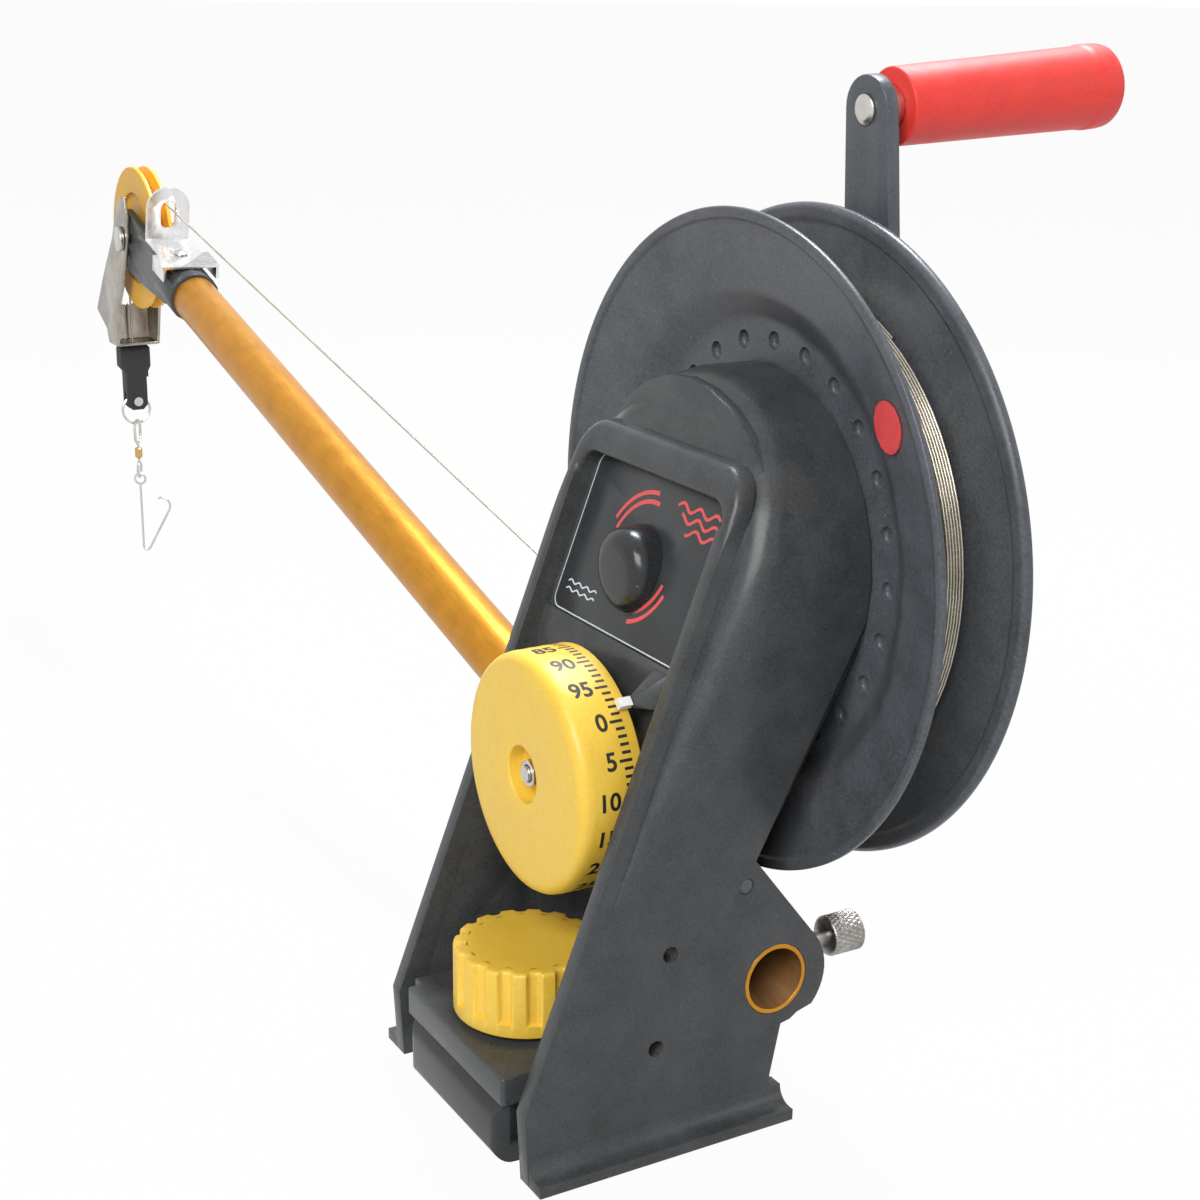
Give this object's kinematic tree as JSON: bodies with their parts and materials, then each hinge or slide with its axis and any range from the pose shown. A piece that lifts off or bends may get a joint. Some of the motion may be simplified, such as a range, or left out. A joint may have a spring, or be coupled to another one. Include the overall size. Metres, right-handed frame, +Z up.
{
  "type": "downrigger",
  "caption": "Hand-cranked trolling downrigger: deck base, frame with depth dial, side spool of cable with crank, and a boom with a pulley head, snubber and snap.",
  "frame": {"origin": "centre of the frame's footprint between its two feet, on the surface that it is bolted to", "axes": "+X along the spool's axle towards the crank, +Y outboard along the boom, +Z up"},
  "size_m": [0.2738, 0.8186, 0.3741],
  "materials": {
    "black_housing": "textured moulded plastic",
    "plate_black": "satin printed plate",
    "yellow_plastic": "smooth moulded plastic",
    "white_plastic": "smooth",
    "red_mark": "printed disc",
    "red_grip": "soft matt grip",
    "black_rubber": "matt",
    "gold_anodised": "gold anodised, satin",
    "stainless": "bright stainless",
    "black_crank": "satin moulded plastic",
    "cable_steel": "stranded stainless cable",
    "brass": "turned",
    "gear_plastic": "natural moulded plastic"
  },
  "bodies": {
    "base": {"mounting_base": "black_housing", "clamp_block": "black_housing", "lock_washer": "stainless"},
    "frame_body": {"frame": "black_housing", "face_plate": "plate_black", "axle_cap": "black_housing", "gear_cover": "black_housing", "cover_screw_near": "black_crank", "cover_screw_far": "black_crank", "pointer": "black_housing", "pointer_tip": "white_plastic", "dial_bush": "brass", "idler_pin": "stainless", "bush_front": "brass", "bush_rear": "brass", "click_spring": "stainless", "boom_tube": "gold_anodised", "tip_yoke": "black_housing", "cable_guard": "stainless", "guard_rivet": "stainless", "pulley_bolt": "stainless", "pulley_nut": "stainless", "cable_line": "cable_steel"},
    "knob_body": {"lock_knob": "yellow_plastic", "lock_stud": "stainless"},
    "spool_body": {"spool_front_flange": "black_housing", "spool_drum": "black_housing", "spool_rear_flange": "black_housing", "drive_sleeve": "stainless", "red_marker": "red_mark", "cable_core": "cable_steel", "cable_winding": "cable_steel", "friction_disc": "black_rubber"},
    "crank_body": {"crank_arm": "black_crank", "axle": "stainless", "axle_nut": "stainless", "grip_pin": "stainless", "crank_washer": "stainless"},
    "grip_body": {"crank_grip": "red_grip"},
    "idler_body": {"compound_gear": "gear_plastic"},
    "dial_body": {"depth_dial": "yellow_plastic", "dial_shaft": "stainless", "dial_nut": "stainless", "dial_gear": "gear_plastic"},
    "click_body": {"click_pin": "stainless"},
    "screw_body": {"thumbscrew": "stainless"},
    "pulley_body": {"pulley": "yellow_plastic", "pulley_bush": "brass"},
    "clevis_body": {"clevis": "stainless"},
    "snubber_body": {"snubber": "black_rubber", "snubber_rivet": "stainless"},
    "ring_body": {"split_ring": "stainless"},
    "upper_eye_body": {"swivel_upper_eye": "stainless"},
    "barrel_body": {"swivel_barrel": "brass"},
    "lower_eye_body": {"swivel_lower_eye": "stainless"},
    "snap_body": {"snap_hook": "stainless"}
  },
  "joints": [
    {"name": "frame_slide", "type": "slide", "parent": "base", "child": "frame_body", "axis": [1, 0, 0], "range_m": [0, 0.1]},
    {"name": "knob_turn", "type": "hinge", "parent": "base", "child": "knob_body", "pos_m": [-0.0242, 0, 0.045], "axis": [0, 0, 1], "range_deg": [0, 720]},
    {"name": "spool_spin", "type": "hinge", "parent": "frame_body", "child": "spool_body", "pos_m": [0.0575, 0, 0.201], "axis": [1, 0, 0], "continuous": true, "deforming": ["cable_line"]},
    {"name": "crank_back_off", "type": "hinge", "parent": "spool_body", "child": "crank_body", "pos_m": [0.1188, 0, 0.201], "axis": [1, 0, 0], "range_deg": [0, 90]},
    {"name": "grip_spin", "type": "hinge", "parent": "crank_body", "child": "grip_body", "pos_m": [0.12103, 0, 0.35292], "axis": [0.9981, 0, 0.061], "continuous": true},
    {"name": "idler_spin", "type": "hinge", "parent": "frame_body", "child": "idler_body", "pos_m": [0.03, 0.01135, 0.17001], "axis": [1, 0, 0], "continuous": true},
    {"name": "dial_spin", "type": "hinge", "parent": "frame_body", "child": "dial_body", "pos_m": [0, 0, 0.1275], "axis": [1, 0, 0], "continuous": true},
    {"name": "click_slide", "type": "slide", "parent": "frame_body", "child": "click_body", "axis": [1, 0, 0], "range_m": [-0.0022, 0], "stiffness_N_per_m": 400, "springref_m": 0.002, "deforming": ["click_spring"]},
    {"name": "thumbscrew_turn", "type": "hinge", "parent": "frame_body", "child": "screw_body", "pos_m": [0.072, -0.04028, 0.05721], "axis": [1, 0, 0], "range_deg": [0, 720]},
    {"name": "pulley_spin", "type": "hinge", "parent": "frame_body", "child": "pulley_body", "pos_m": [0.048, 0.6378, 0.2389], "axis": [1, 0, 0], "continuous": true},
    {"name": "clevis_swing", "type": "hinge", "parent": "frame_body", "child": "clevis_body", "pos_m": [0.048, 0.6378, 0.2389], "axis": [1, 0, 0], "range_deg": [-30, 45], "deforming": ["cable_line"]},
    {"name": "snubber_swing", "type": "hinge", "parent": "clevis_body", "child": "snubber_body", "pos_m": [0.048, 0.6721, 0.1638], "axis": [1, 0, 0], "range_deg": [-25, 25], "deforming": ["cable_line"]},
    {"name": "ring_swing", "type": "hinge", "parent": "snubber_body", "child": "ring_body", "pos_m": [0.048, 0.6721, 0.1313], "axis": [0, 1, 0], "range_deg": [-30, 30]},
    {"name": "upper_eye_swing", "type": "hinge", "parent": "ring_body", "child": "upper_eye_body", "pos_m": [0.048, 0.6721, 0.11605], "axis": [1, 0, 0], "range_deg": [-25, 25]},
    {"name": "upper_swivel", "type": "hinge", "parent": "upper_eye_body", "child": "barrel_body", "pos_m": [0.048, 0.6721, 0.1001], "axis": [0, 0, 1], "continuous": true},
    {"name": "lower_swivel", "type": "hinge", "parent": "barrel_body", "child": "lower_eye_body", "pos_m": [0.048, 0.6721, 0.0931], "axis": [0, 0, 1], "continuous": true},
    {"name": "snap_swing", "type": "hinge", "parent": "lower_eye_body", "child": "snap_body", "pos_m": [0.048, 0.6721, 0.0805], "axis": [0.5, 0.866, 0], "range_deg": [-25, 25]}
  ],
  "couplings": [
    {"joint": "idler_spin", "follows": "spool_spin", "ratio": -0.2},
    {"joint": "dial_spin", "follows": "spool_spin", "ratio": 0.02}
  ]
}
